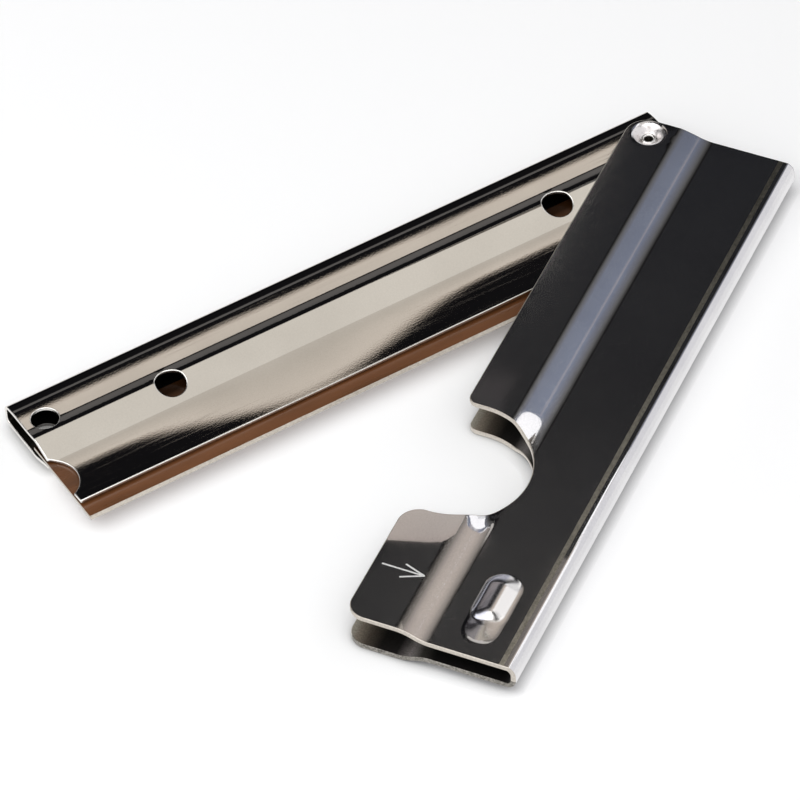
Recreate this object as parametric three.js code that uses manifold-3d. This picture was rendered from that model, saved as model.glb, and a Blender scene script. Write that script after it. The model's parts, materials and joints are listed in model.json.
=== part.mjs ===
// A folding glass scraper: a blade holder of folded sheet metal that swings, like the blade of a
// cut-throat razor, in and out of a folded sheath that is also its handle.
//
// Units are millimetres and +Z is up. Each piece is drawn about the pivot: X runs across the piece,
// from its back towards the sheath's spine or the blade's edge, -Y runs from the pivot towards the
// far end, and z = 0 is the middle of the sheet-metal sandwich.

import * as THREE from 'three';
import { mergeVertices } from 'three/addons/utils/BufferGeometryUtils.js';
import Module from 'manifold-3d';

// Blade
const BLADE_LENGTH = 100;
const BLADE_WIDTH = 15;
const BLADE_THICKNESS = 0.45;
const BLADE_REACH = 2.65; // from the holder's front lip out to the cutting edge
const BEVEL_WIDTH = 0.75;
const EDGE_LAND = 0.06; // thickness left at the very edge

// Blade holder
const HOLDER_SHEET = 0.5;
const HOLDER_DEPTH = 3.5; // across both sheets beside the spine
const HOLDER_SPINE_RADIUS = 1.1;
const FRONT_LIP = 20.2; // spine to front lip
const BACK_LIP = 18.2; // spine to back lip
const BEND_START = 7.6; // spine to where the sheets start to draw together
const PINCH_START = 11.8; // spine to where they grip the blade
const LIP_START = 15.5; // spine to where they open out again
const LIP_RISE = 0.2; // how far each lip opens out
const BLADE_GRIP_GAP = 0.06; // between the blade and each sheet
const PIVOT_FROM_SPINE = 5.5;
const PIVOT_FROM_END = 3.1;
const PIVOT_HOLE_RADIUS = 1.85;
const VIEW_HOLE_RADIUS = 2.05; // holes in the front sheet that show the blade's back
const VIEW_HOLE_FROM_SPINE = 8.85;
const VIEW_HOLE_FROM_END = 20;
const THUMB_NOTCH_RADIUS = 4;
const THUMB_NOTCH_DEPTH = 2.2;
const THUMB_NOTCH_FROM_SPINE = 14.9;

// Sheath
const SHEATH_SHEET = 0.7;
const SHEATH_SPINE_RADIUS = 1.1;
const SHEATH_END_SHORT = 2.5; // the closed holder stands out this far past the sheath's far end
const SHEATH_TOP = 2.6; // pivot to the sheath's near end
const SHEATH_EDGE = 3.2; // pivot to the sheath's open edge
const FLARE_END = 4; // pivot to where the wide strip along the open edge ends
const NARROW_START = 7.9; // pivot to where the narrow strip beside the spine starts
const FLARE_GAP = 0.45; // between the holder's sides and the wide strip
const NARROW_GAP = 0.2; // between the holder's lips and the narrow strip
const EDGE_GAP = 2.1; // between the blade's edge and the inside of the spine
const PIVOT_CORNER_RADIUS = 3.1;
const TAB_CORNER_RADIUS = 2.6;
const GRIP_RADIUS = 9.7; // finger notch
const GRIP_DEPTH = 12.6;
const GRIP_FROM_END = 29.6;
const GRIP_LOBE_RADIUS = 1.3;
const GRIP_TAB_RADIUS = 2.9;

// Pressed bump on the front of the sheath, near its far end
const BUMP_LENGTH = 12.6;
const BUMP_WIDTH = 5.2;
const BUMP_HEIGHT = 0.9;
const BUMP_ROUND = 1.5; // width of the rounding along its top edges
const BUMP_SLOPE = 4.4; // length of the slope down towards the far end
const BUMP_FROM_END = 1.9;
const BUMP_FROM_SPINE = 6.6;

// Pivot: a dimple in each side of the sheath runs in the holder's holes, and a tubular rivet ties them
const DIMPLE_RADIUS = 2.05;
const DIMPLE_FLOOR_RADIUS = 1.15;
const DIMPLE_ROLL = 0.6; // width of the rounding at the dish's rim
const DIMPLE_FILLET = 0.3; // width of the rounding where its wall meets its floor
const DIMPLE_FLOOR = 0.45; // thickness
const DIMPLE_SINK = 1.25; // from the sheath's outer face down to the floor
const PIVOT_CLEARANCE = 0.08;
const RIVET_RADIUS = 0.75;
const RIVET_BORE_RADIUS = 0.48;
const RIVET_CLEARANCE = 0.05;
const RIVET_HEAD_RADIUS = 1.05;
const RIVET_HEAD_HEIGHT = 0.4;

// Pose in which the part is stored
const OPEN_ANGLE = THREE.MathUtils.degToRad(34.5);

// Fineness of curves
const BEND_STEPS = 6;
const ROUND_STEPS = 32;
const OVERLAP = 0.2; // depth by which solids that become one piece run into each other

// Sizes that follow from the ones above
const HOLDER_HALF = HOLDER_DEPTH / 2;
const PINCH_HALF = BLADE_THICKNESS / 2 + BLADE_GRIP_GAP + HOLDER_SHEET;
const LIP_HALF = PINCH_HALF + LIP_RISE;
const HOLDER_SPINE_X = -PIVOT_FROM_SPINE;
const FRONT_LIP_X = HOLDER_SPINE_X + FRONT_LIP;
const BACK_LIP_X = HOLDER_SPINE_X + BACK_LIP;
const BLADE_EDGE_X = FRONT_LIP_X + BLADE_REACH;
const BLADE_BACK_X = BLADE_EDGE_X - BLADE_WIDTH;
const HOLDER_NEAR_Y = PIVOT_FROM_END;
const HOLDER_FAR_Y = HOLDER_NEAR_Y - BLADE_LENGTH;
const FLARE_HALF = HOLDER_HALF + FLARE_GAP + SHEATH_SHEET;
const NARROW_HALF = LIP_HALF + NARROW_GAP + SHEATH_SHEET;
const SHEATH_SPINE_X = BLADE_EDGE_X + EDGE_GAP + SHEATH_SHEET;
const SHEATH_FAR_Y = HOLDER_FAR_Y + SHEATH_END_SHORT;
const SHEATH_LENGTH = SHEATH_TOP - SHEATH_FAR_Y;
const DIMPLE_FLOOR_Z = FLARE_HALF - DIMPLE_SINK;

// Solids

const wasm = await Module();
wasm.setup();

function toSolid(geometry) {
  const bare = geometry.index ? geometry.toNonIndexed() : geometry.clone();
  bare.deleteAttribute('normal');
  bare.deleteAttribute('uv');
  const merged = mergeVertices(bare, 1e-5);
  return new wasm.Manifold(new wasm.Mesh({
    numProp: 3,
    vertProperties: new Float32Array(merged.attributes.position.array),
    triVerts: new Uint32Array(merged.index.array),
  }));
}

function toGeometry(solid) {
  const mesh = solid.getMesh();
  const geometry = new THREE.BufferGeometry();
  geometry.setAttribute('position', new THREE.BufferAttribute(mesh.vertProperties, 3));
  geometry.setIndex(new THREE.BufferAttribute(mesh.triVerts, 1));
  const flat = geometry.toNonIndexed();
  flat.computeVertexNormals();
  return flat;
}

// An X-Z section, pushed along Y from nearY down to farY.
function pushedSection(shape, nearY, farY) {
  const geometry = new THREE.ExtrudeGeometry(shape, { depth: nearY - farY, bevelEnabled: false });
  return geometry.rotateX(Math.PI / 2).translate(0, nearY, 0);
}

// An X-Y outline, pushed along Z to the same height above and below the middle.
function pushedOutline(shape, half) {
  const settings = { depth: 2 * half, bevelEnabled: false, curveSegments: ROUND_STEPS / 2 };
  return new THREE.ExtrudeGeometry(shape, settings).translate(0, 0, -half);
}

// A round solid about Z, from its half section given as (radius, z) points.
function turned(points) {
  return new THREE.LatheGeometry(points, ROUND_STEPS).rotateX(Math.PI / 2);
}

// An upright round tool that cuts at (x, y) from well above the part down to lowZ.
function drill(x, y, radius, lowZ = -2 * FLARE_HALF) {
  const height = 2 * FLARE_HALF - lowZ;
  const geometry = new THREE.CylinderGeometry(radius, radius, height, ROUND_STEPS);
  return toSolid(geometry.rotateX(Math.PI / 2).translate(x, y, lowZ + height / 2));
}

// The closed section of a sheet of even thickness whose middle follows the given line.
function sheetSection(middleLine, thickness) {
  const points = middleLine.getPoints(BEND_STEPS);
  const sides = [1, -1].map((side) => points.map((point, i) => {
    const before = points[Math.max(i - 1, 0)];
    const after = points[Math.min(i + 1, points.length - 1)];
    const along = after.clone().sub(before).normalize();
    const across = new THREE.Vector2(-along.y, along.x);
    return point.clone().addScaledVector(across, side * thickness / 2);
  }));
  const outline = [...sides[0], ...sides[1].reverse()];
  return new THREE.Shape(outline);
}

// A smooth step from the line's current point at (fromX, fromZ) to (toX, toZ), level at both ends.
function easeTo(line, fromX, fromZ, toX, toZ) {
  const middle = (fromX + toX) / 2;
  line.bezierCurveTo(middle, fromZ, middle, toZ, toX, toZ);
}

// Blade

function bladeGeometry() {
  const half = BLADE_THICKNESS / 2;
  const land = EDGE_LAND / 2;
  const section = new THREE.Shape();
  section.moveTo(BLADE_BACK_X, -half);
  section.lineTo(BLADE_EDGE_X - BEVEL_WIDTH, -half);
  section.lineTo(BLADE_EDGE_X, -land);
  section.lineTo(BLADE_EDGE_X, land);
  section.lineTo(BLADE_EDGE_X - BEVEL_WIDTH, half);
  section.lineTo(BLADE_BACK_X, half);
  section.closePath();
  return toGeometry(toSolid(pushedSection(section, HOLDER_NEAR_Y, HOLDER_FAR_Y)));
}

// Blade holder

function holderSection() {
  const middle = HOLDER_SHEET / 2;
  const wide = HOLDER_HALF - middle;
  const pinch = PINCH_HALF - middle;
  const lip = LIP_HALF - middle;
  const bendX = HOLDER_SPINE_X + BEND_START;
  const pinchX = HOLDER_SPINE_X + PINCH_START;
  const lipX = HOLDER_SPINE_X + LIP_START;
  const radius = HOLDER_SPINE_RADIUS - middle;
  const turnX = HOLDER_SPINE_X + HOLDER_SPINE_RADIUS;
  const turnZ = wide - radius;
  const line = new THREE.Path();
  line.moveTo(FRONT_LIP_X, lip);
  line.lineTo(lipX, pinch);
  line.lineTo(pinchX, pinch);
  easeTo(line, pinchX, pinch, bendX, wide);
  line.lineTo(turnX, wide);
  line.absarc(turnX, turnZ, radius, Math.PI / 2, Math.PI);
  line.lineTo(turnX - radius, -turnZ);
  line.absarc(turnX, -turnZ, radius, Math.PI, 1.5 * Math.PI);
  line.lineTo(bendX, -wide);
  easeTo(line, bendX, -wide, pinchX, -pinch);
  line.lineTo(lipX, -pinch);
  line.lineTo(BACK_LIP_X, -lip);
  return sheetSection(line, HOLDER_SHEET);
}

function holderGeometry() {
  let solid = toSolid(pushedSection(holderSection(), HOLDER_NEAR_Y, HOLDER_FAR_Y));
  const viewX = HOLDER_SPINE_X + VIEW_HOLE_FROM_SPINE;
  const notchX = HOLDER_SPINE_X + THUMB_NOTCH_FROM_SPINE;
  const notchOut = THUMB_NOTCH_RADIUS - THUMB_NOTCH_DEPTH;
  for (const [endY, inwards] of [[HOLDER_NEAR_Y, -1], [HOLDER_FAR_Y, 1]]) {
    solid = solid.subtract(drill(0, endY + inwards * PIVOT_FROM_END, PIVOT_HOLE_RADIUS));
    solid = solid.subtract(drill(viewX, endY + inwards * VIEW_HOLE_FROM_END, VIEW_HOLE_RADIUS, 0));
    solid = solid.subtract(drill(notchX, endY - inwards * notchOut, THUMB_NOTCH_RADIUS));
  }
  return toGeometry(solid);
}

// Sheath

function sheathSection() {
  const middle = SHEATH_SHEET / 2;
  const flare = FLARE_HALF - middle;
  const narrow = NARROW_HALF - middle;
  const radius = SHEATH_SPINE_RADIUS - middle;
  const turnX = SHEATH_SPINE_X - SHEATH_SPINE_RADIUS;
  const turnZ = narrow - radius;
  const line = new THREE.Path();
  line.moveTo(-SHEATH_EDGE, flare);
  line.lineTo(FLARE_END, flare);
  easeTo(line, FLARE_END, flare, NARROW_START, narrow);
  line.lineTo(turnX, narrow);
  line.absarc(turnX, turnZ, radius, Math.PI / 2, 0, true);
  line.lineTo(turnX + radius, -turnZ);
  line.absarc(turnX, -turnZ, radius, 0, -Math.PI / 2, true);
  line.lineTo(NARROW_START, -narrow);
  easeTo(line, NARROW_START, -narrow, FLARE_END, -flare);
  line.lineTo(-SHEATH_EDGE, -flare);
  return sheetSection(line, SHEATH_SHEET);
}

// The sheath seen from above: rounded corners, and a finger notch in the open edge.
function sheathOutline() {
  const left = -SHEATH_EDGE;
  const right = SHEATH_SPINE_X + OVERLAP;
  const gripX = left + GRIP_DEPTH - GRIP_RADIUS;
  const gripY = SHEATH_FAR_Y + GRIP_FROM_END;
  const lobeY = gripY + GRIP_RADIUS;
  const tabY = gripY - GRIP_RADIUS;
  const quarter = Math.PI / 2;
  const outline = new THREE.Shape();
  outline.moveTo(right, SHEATH_FAR_Y);
  outline.lineTo(right, SHEATH_TOP);
  outline.absarc(left + PIVOT_CORNER_RADIUS, SHEATH_TOP - PIVOT_CORNER_RADIUS, PIVOT_CORNER_RADIUS,
    quarter, 2 * quarter);
  outline.absarc(left + GRIP_LOBE_RADIUS, lobeY + GRIP_LOBE_RADIUS, GRIP_LOBE_RADIUS,
    2 * quarter, 3 * quarter);
  outline.absarc(gripX, gripY, GRIP_RADIUS, quarter, -quarter, true);
  outline.absarc(left + GRIP_TAB_RADIUS, tabY - GRIP_TAB_RADIUS, GRIP_TAB_RADIUS,
    quarter, 2 * quarter);
  outline.absarc(left + TAB_CORNER_RADIUS, SHEATH_FAR_Y + TAB_CORNER_RADIUS, TAB_CORNER_RADIUS,
    2 * quarter, 3 * quarter);
  outline.closePath();
  return outline;
}

// The bump's pad, with round ends and rounded edges, cut down to a slope towards the far end.
// An inset draws it in from all sides, to hollow it out.
function bumpSolid(inset) {
  const middle = NARROW_HALF - SHEATH_SHEET / 2;
  const foot = NARROW_HALF - inset;
  const top = foot + BUMP_HEIGHT;
  const edge = BUMP_ROUND - inset;
  const endRadius = BUMP_WIDTH / 2 - BUMP_ROUND;
  const reach = (BUMP_LENGTH - BUMP_WIDTH) / 2;
  const plan = new THREE.Shape();
  plan.absarc(0, reach, endRadius, 0, Math.PI);
  plan.absarc(0, -reach, endRadius, Math.PI, 2 * Math.PI);
  const pad = new THREE.ExtrudeGeometry(plan, {
    depth: SHEATH_SHEET / 2,
    bevelThickness: top - middle,
    bevelSize: edge,
    bevelSegments: BEND_STEPS,
    curveSegments: ROUND_STEPS / 2,
  });
  const slope = new THREE.Shape();
  slope.moveTo(0, -top);
  slope.lineTo(0, foot);
  slope.lineTo(2 * BUMP_SLOPE, foot + 2 * BUMP_HEIGHT);
  slope.lineTo(BUMP_LENGTH, foot + 2 * BUMP_HEIGHT);
  slope.lineTo(BUMP_LENGTH, -top);
  const wedge = new THREE.ExtrudeGeometry(slope, { depth: BUMP_WIDTH, bevelEnabled: false });
  wedge.rotateX(Math.PI / 2).rotateZ(Math.PI / 2);
  const farY = SHEATH_FAR_Y + BUMP_FROM_END;
  const centreX = SHEATH_SPINE_X - BUMP_FROM_SPINE;
  pad.translate(centreX, farY + BUMP_LENGTH / 2, middle - SHEATH_SHEET / 2);
  wedge.translate(centreX - BUMP_WIDTH / 2, farY, 0);
  return toSolid(pad).intersect(toSolid(wedge));
}

// What lies above the middle of the narrow strip's front sheet.
function aboveNarrowStrip() {
  const height = 2 * (BUMP_HEIGHT + SHEATH_SHEET);
  const box = new THREE.BoxGeometry(2 * SHEATH_SPINE_X, SHEATH_LENGTH, height);
  const middle = NARROW_HALF - SHEATH_SHEET / 2;
  box.translate(SHEATH_SPINE_X, SHEATH_TOP - SHEATH_LENGTH / 2, middle + height / 2);
  return toSolid(box);
}

// The dimple in the front sheet: a dish above, and below it the round boss that the holder turns on.
function dimpleGeometry() {
  const bossRadius = PIVOT_HOLE_RADIUS - PIVOT_CLEARANCE;
  const holeRadius = RIVET_RADIUS + RIVET_CLEARANCE;
  const rim = DIMPLE_RADIUS + OVERLAP;
  const inner = FLARE_HALF - SHEATH_SHEET;
  const under = DIMPLE_FLOOR_Z - DIMPLE_FLOOR;
  const dish = new THREE.CubicBezierCurve(
    new THREE.Vector2(DIMPLE_RADIUS, FLARE_HALF),
    new THREE.Vector2(DIMPLE_RADIUS - DIMPLE_ROLL, FLARE_HALF),
    new THREE.Vector2(DIMPLE_FLOOR_RADIUS + DIMPLE_FILLET, DIMPLE_FLOOR_Z),
    new THREE.Vector2(DIMPLE_FLOOR_RADIUS, DIMPLE_FLOOR_Z),
  );
  const points = [
    new THREE.Vector2(holeRadius, under),
    new THREE.Vector2(bossRadius, under),
    new THREE.Vector2(bossRadius, inner),
    new THREE.Vector2(rim, inner),
    new THREE.Vector2(rim, FLARE_HALF),
    ...dish.getPoints(BEND_STEPS),
    new THREE.Vector2(holeRadius, DIMPLE_FLOOR_Z),
    new THREE.Vector2(holeRadius, under),
  ];
  return turned(points);
}

function sheathGeometry() {
  const folded = toSolid(pushedSection(sheathSection(), SHEATH_TOP, SHEATH_FAR_Y));
  const outline = toSolid(pushedOutline(sheathOutline(), 2 * FLARE_HALF));
  let solid = folded.intersect(outline);
  solid = solid.subtract(drill(0, 0, DIMPLE_RADIUS + OVERLAP / 2));
  solid = solid.add(toSolid(dimpleGeometry()));
  solid = solid.add(toSolid(dimpleGeometry().rotateX(Math.PI)));
  solid = solid.add(bumpSolid(0).intersect(aboveNarrowStrip()));
  solid = solid.subtract(bumpSolid(SHEATH_SHEET));
  return toGeometry(solid);
}

// Rivet

function rivetGeometry() {
  const seat = DIMPLE_FLOOR_Z;
  const top = seat + RIVET_HEAD_HEIGHT;
  const roll = (RIVET_HEAD_RADIUS - RIVET_BORE_RADIUS) / 2;
  const rollRadius = RIVET_BORE_RADIUS + roll;
  const head = new THREE.Path();
  head.moveTo(RIVET_RADIUS, seat);
  head.lineTo(RIVET_HEAD_RADIUS, seat);
  head.absellipse(rollRadius, seat, roll, top - seat, 0, Math.PI);
  const upper = head.getPoints(BEND_STEPS);
  const lower = upper.map((point) => new THREE.Vector2(point.x, -point.y)).reverse();
  return turned([...lower, ...upper, lower[0].clone()]);
}

// Assembly

function metal(color, roughness) {
  return new THREE.MeshStandardMaterial({ color, metalness: 1, roughness });
}

const polished = metal(0xc9c6c0, 0.12);
const bright = metal(0xd6d2ca, 0.14);
const lacquered = new THREE.MeshStandardMaterial({ color: 0x7a4a28, metalness: 0.35, roughness: 0.3 });

function piece(name, geometry, material) {
  const mesh = new THREE.Mesh(geometry, material);
  mesh.name = name;
  return mesh;
}

const handle = new THREE.Group();
handle.add(piece('sheath', sheathGeometry(), polished));
handle.add(piece('pivot_rivet', toGeometry(toSolid(rivetGeometry())), bright));

const swing = new THREE.Group();
swing.rotation.z = -OPEN_ANGLE;
swing.add(piece('blade_holder', holderGeometry(), bright));
swing.add(piece('blade', bladeGeometry(), lacquered));

// The origin is under the middle of the stored part, on the surface that it lies on.
const scraper = new THREE.Group();
scraper.add(handle, swing);
scraper.updateMatrixWorld(true);
const box = new THREE.Box3().setFromObject(scraper, true);
const centre = box.getCenter(new THREE.Vector3());
scraper.position.set(-centre.x, -centre.y, -box.min.z);
scraper.updateMatrixWorld(true);

export default scraper;
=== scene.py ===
"""Looks of a folding glass scraper: two folded polished sheets, a lacquered blade and a tubular rivet.

Pieces are drawn in millimetres about the pivot, as in the part's own frame: X runs across a piece, from its
back towards the sheath's spine or the blade's edge, -Y runs from the pivot towards the far end, and Z is up.
"""

import json
import math

import bpy
import numpy as np
from mathutils import Matrix, Vector
from mathutils.geometry import delaunay_2d_cdt


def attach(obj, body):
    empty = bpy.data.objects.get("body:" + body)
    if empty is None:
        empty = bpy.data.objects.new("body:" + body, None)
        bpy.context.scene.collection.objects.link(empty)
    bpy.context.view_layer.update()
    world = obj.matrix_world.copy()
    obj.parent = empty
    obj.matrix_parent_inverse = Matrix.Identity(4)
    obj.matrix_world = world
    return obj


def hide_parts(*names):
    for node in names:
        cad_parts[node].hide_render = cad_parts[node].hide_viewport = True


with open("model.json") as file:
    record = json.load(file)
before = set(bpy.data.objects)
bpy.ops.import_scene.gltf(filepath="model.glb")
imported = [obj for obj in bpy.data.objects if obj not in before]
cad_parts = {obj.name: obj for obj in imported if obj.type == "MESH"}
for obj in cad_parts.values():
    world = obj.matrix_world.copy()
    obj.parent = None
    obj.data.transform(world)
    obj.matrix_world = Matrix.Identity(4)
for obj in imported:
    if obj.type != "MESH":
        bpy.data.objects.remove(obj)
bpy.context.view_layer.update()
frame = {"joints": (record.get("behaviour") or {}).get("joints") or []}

MM = 0.001
swing_joint = next(j for j in frame["joints"] if j["name"] == "holder_swing")
PIVOT = Vector(swing_joint["pos_m"])
OPEN_ANGLE = math.radians(-swing_joint["range_deg"][0])
HANDLE_PLACE = Matrix.Translation(PIVOT) @ Matrix.Scale(MM, 4)
SWING_PLACE = Matrix.Translation(PIVOT) @ Matrix.Rotation(-OPEN_ANGLE, 4, "Z") @ Matrix.Scale(MM, 4)

# Camera, as the photograph was taken
CAMERA_EYE = Vector((0.2349, -0.49043, 0.55817))
CAMERA_AZIMUTH = math.radians(25.417)
CAMERA_ELEVATION = math.radians(46.305)
CAMERA_ROLL = math.radians(-2.55)
CAMERA_SENSOR = 36.0
CAMERA_LENS = 265.77
CAMERA_CLIP = 0.01

# Blade, in millimetres
BLADE_LENGTH = 100.0
BLADE_WIDTH = 15.0
BLADE_HALF = 0.225
BLADE_EDGE_X = 17.35
BEVEL_WIDTH = 0.45
EDGE_LAND = 0.06
BLADE_SOFT = 0.05
# Painted shade on the lacquer inside the holder: full at the first X, none past the second
BLADE_SHADE_X = (3.6, 7.0)

# Blade holder
HOLDER_SHEET = 0.5
HOLDER_RIM = 0.16
HOLDER_HALF = 1.75
PINCH_HALF = 0.785
LIP_HALF = 0.985
HOLDER_SPINE_X = -5.5
HOLDER_SPINE_RADIUS = 1.1
FRONT_LIP_X = 14.7
BACK_LIP_X = 12.7
BEND_X = 2.1
PINCH_X = 6.3
LIP_X = 10.0
SHOULDER_X = -2.65
SHOULDER_TILT = math.radians(12)
PINCH_EASE = 1.26
CREST_X = 2.55
HOLDER_CREASE_X = 6.5
HOLDER_SHARP = 0.02
SWELL_RISE = 0.17
# Swell of the holder's front sheet, and its slope down to the pinch: X and relative slope
SWELL = ((0.35, 0), (0.6, 0.009), (0.8, 0.054), (1.85, 0.094), (2.0, 0.114),
         (CREST_X - HOLDER_SHARP, 0.12), (CREST_X, 0.12))
HOLDER_SLOPE = ((CREST_X, 0.35), (CREST_X + HOLDER_SHARP, 0.36), (3.5, 1),
                (HOLDER_CREASE_X - HOLDER_SHARP, 1), (HOLDER_CREASE_X, 0))
LIP_TURN = 2.5
LIP_TILT = 0.0195
LIP_LEVEL_Y = -64.0
LIP_NEAR_REACH = 34.0
LIP_FAR_REACH = 27.0
HOLDER_NEAR_Y = 3.1
HOLDER_FAR_Y = HOLDER_NEAR_Y - BLADE_LENGTH
PIVOT_HOLE_RADIUS = 1.85
PIVOT_FROM_END = 3.1
VIEW_HOLE_RADIUS = 2.05
VIEW_HOLE_X = 3.35
VIEW_HOLE_FROM_END = 20.0
THUMB_NOTCH_X = 9.4
THUMB_NOTCH_RADIUS = 4.0
THUMB_NOTCH_DEPTH = 2.2

# Sheath
SHEATH_SHEET = 0.7
SHEATH_RIM = 0.14
FLARE_HALF = 2.9
NARROW_HALF = 1.885
SHEATH_EDGE_X = -3.2
SHEATH_SPINE_X = 20.15
SHEATH_SPINE_RADIUS = 1.6
SHEATH_SPINE_START = math.radians(25)
SPINE_SHARP = 0.04
SHEATH_NEAR_Y = 2.6
SHEATH_FAR_Y = -94.4
PIVOT_CORNER_RADIUS = 3.1
TAB_CORNER_RADIUS = 2.6
GRIP_RADIUS = 9.7
GRIP_X = -0.3
GRIP_Y = -64.8
GRIP_LOBE_RADIUS = 1.3
GRIP_TAB_RADIUS = 2.9

# Dimple and rivet at the pivot
DIMPLE_RADIUS = 2.55
DIMPLE_FLOOR_RADIUS = 1.0
DIMPLE_ROLL = 0.85
DIMPLE_FILLET = 0.3
DIMPLE_SINK = 1.05
DISH_SATIN_RADIUS = 2.15
BOSS_RADIUS = 1.77
BOSS_WALL = 0.12
BOSS_DEPTH = 1.0
RIVET_RADIUS = 0.75
RIVET_BORE_RADIUS = 0.58
RIVET_HEAD_RADIUS = 1.05
RIVET_HEAD_HEIGHT = 0.4
RIVET_HOLE_RADIUS = 0.8
RIVET_SEAT = 1.65

# Pressed bump
BUMP_X = 13.55
BUMP_FAR_Y = -92.5
BUMP_LENGTH = 12.6
BUMP_WIDTH = 5.2
BUMP_HEIGHT = 0.9
BUMP_TAIL = 3.2
BUMP_TAIL_HEIGHT = 0.35
BUMP_BLEND = 0.1
# Relative slope of its left and right side against the distance from its crest
BUMP_LEFT = ((0, 0.02), (0.8, 0.22), (1.7, 0.36), (2.1, 0.7), (2.45, 0.85), (2.6, 0))
BUMP_RIGHT = ((0, 0), (0.4, 0.42), (0.7, 0.56), (1.8, 0.56), (2.3, 0.2), (2.6, 0))

# Arrow engraved on the tab, from its tail to its tip
ARROW_TAIL = (-2.0, -85.0)
ARROW_TIP = (3.8, -85.0)
ARROW_BARBS = ((0.87, -84.0), (0.94, -86.3))
ARROW_WIDTH = 0.24
ARROW_DEPTH = 0.015

# Rough band beside the sheath's spine
CREASE_X = 18.2
CREASE_WIDTH = 0.66
CREASE_DEPTH = 0.015

# Ramp between the sheath's wide and narrow part: X and relative slope
SHEATH_RAMP = ((3.3, 0), (4.4, 0.27), (6.0, 0.30), (6.35, 0.34), (6.75, 0.26), (8.5, 0))
TAB_RAMP = ((3.3, 0), (4.0, 0.035), (4.6, 0.12), (5.2, 0.22), (5.9, 0.31), (6.4, 0.34), (6.8, 0.27),
            (8.5, 0))
TAB_RAMP_Y = (-62.0, -76.0)

# Ends of the sheath's ramp, bent down beside the finger notch
LOBE_ROLL_X = 5.6
TAB_ROLL_X = 6.2
ROLL_HALF = 2.2
LOBE_ROLL_BEND = 0.15
TAB_ROLL_BEND = 0.3
ROLL_TURN = 0.8
LOBE_ROLL_Y = -53.25
LOBE_ROLL_SLOPE = 0.06
TAB_ROLL_Y = -74.4
TAB_ROLL_SLOPE = 0.115

# Slight waves of the pressed sheath: depth, length along and across, and phase
WAVES = ((0.005, 23.0, 31.0, 0.0), (0.002, 11.3, -17.0, 1.3))

# Order of a sheet's materials: the holder has the first four, the sheath has them all
FLAT, CUT, INNER, SHADED_CUT, MARK, CREASE, DISHED, PRESSED, BACK_SHADED_CUT = range(9)
# Order of the blade's and of the rivet's materials
LACQUERED, GROUND = range(2)
ROLLED, BORE = range(2)

# Fineness of the meshes, in millimetres and counts
FLAT_STEP = 1.5
LENGTH_STEP = 1.6
EDGE_STEP = 0.3
EASE_STEPS = 26
RAMP_STEPS = 48
X_DIGITS = 6
BOW_STEPS = 14
ARC_STEPS = 14
RIM_STEPS = 3
HEAD_STEPS = 12
BLADE_ROWS = 41
RING_POINTS = 56
RIVET_HOLE_POINTS = 32
PIVOT_HOLE_POINTS = 48
NOTCH_POINTS = 28
DISH_TABLE_POINTS = 60
FALL_TABLE_POINTS = 80
DISH_RINGS = 15
DISH_MARGINS = (0.12, 0.4)
BUMP_GRID = (33, 72)
BUMP_MARGIN = 0.2
BUMP_CLEAR = 0.15
BUMP_FOOT = 0.02
ARROW_CLEAR = 0.3
CREASE_CLEAR = 0.1
SPINE_LINES = 4
CLEAR_OF_EDGE = 0.26
END_SLACK = 0.01
END_REACH = 1.0
SLOPE_STEP = 0.02
SHARP_REACH = 0.1
TINY = 1e-6
NO_AREA = 1e-9


# Folded sheets

class Fold:
    """The middle line of a folded sheet, in X and Z, from one free edge round the spine to the other."""

    def __init__(self, x, z):
        self.points = [(x, z)]

    def straight(self, x, z):
        self.points += subdivided([self.points[-1], (x, z)], FLAT_STEP)[1:]

    def follow(self, table, z, steps=None):
        """A bend to Z by a table of X and relative slope, through the table's Xs or in even steps."""
        xs, slopes = np.array(table).T
        x = np.linspace(xs[0], xs[-1], (steps or RAMP_STEPS) + 1)
        if steps is None:
            x = np.union1d(x.round(X_DIGITS), xs.round(X_DIGITS))
            x = x if xs[0] < xs[-1] else x[::-1]
        order = np.argsort(xs)
        slope = np.interp(x, xs[order], slopes[order])
        rise = np.concatenate([[0], np.cumsum((slope[1:] + slope[:-1]) * np.abs(np.diff(x)))])
        z0 = self.points[-1][1]
        self.points += list(zip(x[1:], z0 + (z - z0) * rise[1:] / rise[-1]))

    def arc(self, x, z, radius, start, end):
        self.points += arc_points(x, z, radius, start, end, ARC_STEPS)[1:]

    def finish(self):
        self.x, self.z = np.array(self.points).T
        steps = np.hypot(np.diff(self.x), np.diff(self.z))
        self.s = np.concatenate([[0], np.cumsum(steps)])
        along = np.stack([np.gradient(self.x, self.s), np.gradient(self.z, self.s)])
        self.tangent = along / np.linalg.norm(along, axis=0)
        far = np.abs(self.x - self.x[0])
        spine = np.flatnonzero(far > far.max() - TINY)
        self.first, self.last = spine[0], spine[-1]
        self.middle = (self.s[self.first] + self.s[self.last]) / 2
        return self

    def unfold(self, x, after_spine):
        """How far along the line a given X lies, on the sheet before or after the spine."""
        part = slice(self.last, None) if after_spine else slice(0, self.first + 1)
        xs, ss = self.x[part], self.s[part]
        order = np.argsort(xs)
        return np.interp(x, xs[order], ss[order])

    def flat(self, points, after_spine=False):
        """Points of X and Y, laid on the flat blank."""
        return np.column_stack([self.unfold(points[:, 0], after_spine), points[:, 1]])

    def at(self, s):
        """X, Z, and the line's direction at s."""
        x = np.interp(s, self.s, self.x)
        z = np.interp(s, self.s, self.z)
        tx = np.interp(s, self.s, self.tangent[0])
        tz = np.interp(s, self.s, self.tangent[1])
        size = np.hypot(tx, tz)
        return x, z, tx / size, tz / size


def subdivided(points, step):
    """A line of points with long stretches cut to the given step."""
    made = [points[0]]
    for a, b in zip(points, points[1:]):
        count = max(1, math.ceil(math.dist(a, b) / step))
        made += [(a[0] + (b[0] - a[0]) * k / count, a[1] + (b[1] - a[1]) * k / count)
                 for k in range(1, count + 1)]
    return made


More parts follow.
